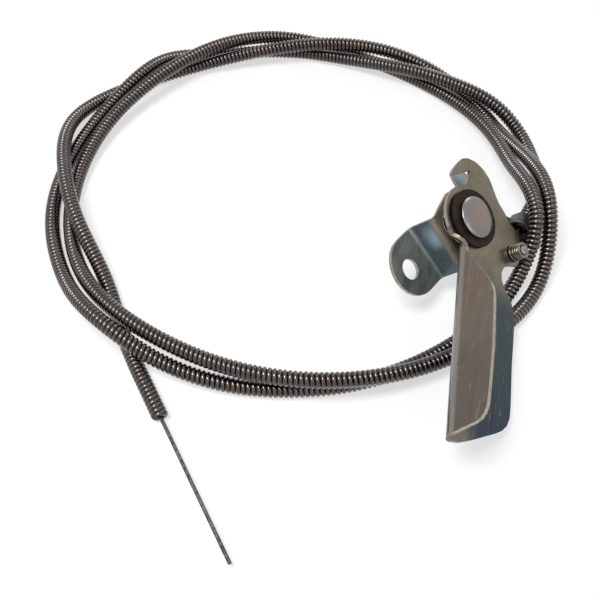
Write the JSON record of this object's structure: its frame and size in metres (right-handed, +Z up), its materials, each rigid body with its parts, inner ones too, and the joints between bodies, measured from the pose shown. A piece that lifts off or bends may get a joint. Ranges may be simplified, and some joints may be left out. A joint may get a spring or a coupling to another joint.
{
  "type": "throttle cable",
  "caption": "Hand-lever throttle control on a folded bracket, pulling a single wire through a long coiled wire-wound conduit.",
  "frame": {"origin": "on the table, under the middle of the lever control's box, the cable left out", "axes": "+Z up from the table; the control's handle runs towards -Y and the coil lies to its left, at -X"},
  "size_m": [0.1879, 0.2419, 0.038],
  "materials": {
    "bracket_steel": "zinc plated, bluish, satin",
    "lever_steel": "zinc plated, warm grey, satin",
    "rivet_steel": "bright, worn",
    "dark_washer": "dark oiled",
    "bright_steel": "bright zinc",
    "spring_steel": "dark spring steel",
    "conduit_steel": "dark drawn wire, glossy",
    "wire_steel": "dark drawn wire"
  },
  "bodies": {
    "root": {"mount_bracket": "bracket_steel", "pivot_rivet": "rivet_steel", "friction_washer": "dark_washer", "spacer_washer": "rivet_steel", "wave_spring_washer": "spring_steel", "rivet_back_washer": "rivet_steel", "clamp_saddle": "bright_steel", "clamp_lock_washer": "bright_steel", "clamp_screw": "rivet_steel", "conduit": "conduit_steel"},
    "lever": {"control_lever": "lever_steel"},
    "swivel": {"anchor_swivel": "rivet_steel", "anchor_washer": "bright_steel", "anchor_lock_washer": "bright_steel", "anchor_nut": "bright_steel"},
    "wire_lever_end": {"inner_wire_lever_end": "wire_steel"},
    "wire_free_end": {"inner_wire_free_end": "wire_steel"}
  },
  "joints": [
    {"name": "lever_pivot", "type": "hinge", "parent": "root", "child": "lever", "pos_m": [-0.00083, 0.02829, 0.02783], "axis": [0.5994, -0.2959, 0.7437], "range_deg": [-38, 0]},
    {"name": "swivel_turn", "type": "hinge", "parent": "lever", "child": "swivel", "pos_m": [0.01498, 0.02536, 0.01392], "axis": [0.5994, -0.2959, 0.7437], "range_deg": [0, 38]},
    {"name": "wire_pull", "type": "slide", "parent": "root", "child": "wire_lever_end", "axis": [0.486, 0.8728, -0.0445], "range_m": [-0.014, 0]},
    {"name": "wire_return", "type": "slide", "parent": "root", "child": "wire_free_end", "axis": [-0.4509, 0.8926, 0], "range_m": [0, 0.014]}
  ],
  "couplings": [
    {"joint": "swivel_turn", "follows": "lever_pivot", "ratio": -1},
    {"joint": "wire_pull", "follows": "lever_pivot", "m_per_rad": 0.02084},
    {"joint": "wire_return", "follows": "lever_pivot", "m_per_rad": -0.02084}
  ]
}
